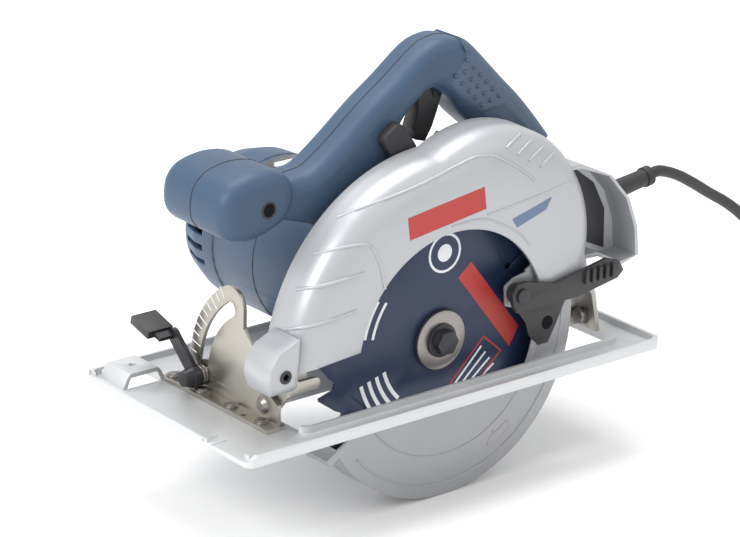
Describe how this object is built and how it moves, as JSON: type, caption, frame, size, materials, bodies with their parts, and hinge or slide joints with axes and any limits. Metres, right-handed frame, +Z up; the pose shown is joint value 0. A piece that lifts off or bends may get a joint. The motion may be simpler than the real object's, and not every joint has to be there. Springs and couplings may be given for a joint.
{
  "type": "circular saw",
  "caption": "Corded hand-held circular saw with a blue motor housing, silver guard, tilting base and retracting lower guard.",
  "frame": {"origin": "middle of the base plate's underside", "axes": "+X to the rear and the cord, blade side faces -Y, +Z up from the work"},
  "size_m": [0.7206, 0.2255, 0.273],
  "materials": {
    "blue_plastic": "satin, fine texture",
    "guard_paint": "silver paint, satin",
    "base_alloy": "brushed satin",
    "zinc_steel": "zinc plated, satin",
    "steel": "machined",
    "dark_steel": "blackened",
    "blade_paint": "navy, low sheen",
    "black_plastic": "matte",
    "black_rubber": "matte",
    "blue_rubber": "dimpled",
    "cast_alloy": "cast, unpainted",
    "copper": "enamelled copper wire",
    "brass": "bright",
    "carbon": "carbon",
    "lamination": "laminated steel",
    "label": "gloss"
  },
  "bodies": {
    "base": {"base_plate": "base_alloy", "bevel_quadrant": "zinc_steel", "quadrant_rivets": "steel", "bevel_pivot_rivet": "steel", "rear_pivot_bolt": "steel"},
    "tilt_frame": {"front_tilt_bracket": "zinc_steel", "rear_tilt_bracket": "zinc_steel", "bevel_lock_bolt": "steel", "bevel_lock_washers": "steel"},
    "bevel_lever": {"bevel_lever": "dark_steel", "bevel_lever_pad": "black_plastic", "bevel_knob": "dark_steel"},
    "head": {"upper_guard": "guard_paint", "depth_pivot_pin": "dark_steel", "gear_case": "cast_alloy", "bearing_plate": "cast_alloy", "motor_housing": "blue_plastic", "motor_end_cap": "blue_plastic", "stator_core": "lamination", "field_coils": "copper", "carbon_brushes": "carbon", "spindle_bearings": "steel", "armature_bearings": "steel", "handle_right": "blue_plastic", "handle_left": "blue_plastic", "front_horn": "blue_plastic", "grip_pad": "blue_rubber", "switch_body": "black_plastic", "trigger_pin": "steel", "handle_screws": "steel", "motor_screws": "steel", "guard_screws": "steel", "rating_label": "label", "depth_clamp_bolt": "steel", "strain_relief": "black_rubber", "power_cord": "black_rubber", "cord_coil": "black_rubber", "plug_body": "black_rubber", "plug_blades": "brass"},
    "depth_lever": {"depth_lever": "steel", "depth_lever_tip": "black_rubber"},
    "blade_set": {"saw_blade": "blade_paint", "inner_washer": "steel", "outer_washer": "steel", "blade_bolt": "dark_steel", "spindle": "steel", "drive_gear": "steel"},
    "armature": {"armature_shaft": "steel", "armature_core": "lamination", "commutator": "copper", "fan": "black_plastic", "pinion": "steel"},
    "lower_guard": {"lower_guard": "base_alloy", "lift_lever": "black_plastic", "lift_lever_screw": "steel"},
    "trigger": {"trigger": "black_plastic"}
  },
  "joints": [
    {"name": "bevel", "type": "hinge", "parent": "base", "child": "tilt_frame", "pos_m": [0.007, -0.0355, 0.013], "axis": [1, 0, 0], "range_deg": [0, 50]},
    {"name": "bevel_lock", "type": "hinge", "parent": "tilt_frame", "child": "bevel_lever", "pos_m": [-0.121, 0.0235, 0.013], "axis": [1, 0, 0], "range_deg": [0, 65]},
    {"name": "depth", "type": "hinge", "parent": "tilt_frame", "child": "head", "pos_m": [-0.118, -0.0465, 0.039], "axis": [0, -1, 0], "range_deg": [0, 29]},
    {"name": "depth_lock", "type": "hinge", "parent": "head", "child": "depth_lever", "pos_m": [0.05035, -0.0245, 0.06266], "axis": [0, -1, 0], "range_deg": [0, 15]},
    {"name": "blade", "type": "hinge", "parent": "head", "child": "blade_set", "pos_m": [0.007, -0.0465, 0.03], "axis": [0, 1, 0], "continuous": true},
    {"name": "motor", "type": "hinge", "parent": "head", "child": "armature", "pos_m": [-0.004, 0.0535, 0.05858], "axis": [0, 1, 0], "continuous": true},
    {"name": "guard", "type": "hinge", "parent": "head", "child": "lower_guard", "pos_m": [0.007, -0.0365, 0.03], "axis": [0, -1, 0], "range_deg": [0, 120], "stiffness_Nm_per_rad": 0.1, "springref_deg": -114.59},
    {"name": "trigger", "type": "hinge", "parent": "head", "child": "trigger", "pos_m": [0.025, -0.0065, 0.18], "axis": [0, -1, 0], "range_deg": [0, 12], "stiffness_Nm_per_rad": 0.5, "springref_deg": -17.19}
  ],
  "couplings": [
    {"joint": "motor", "follows": "blade", "ratio": -3.9}
  ]
}
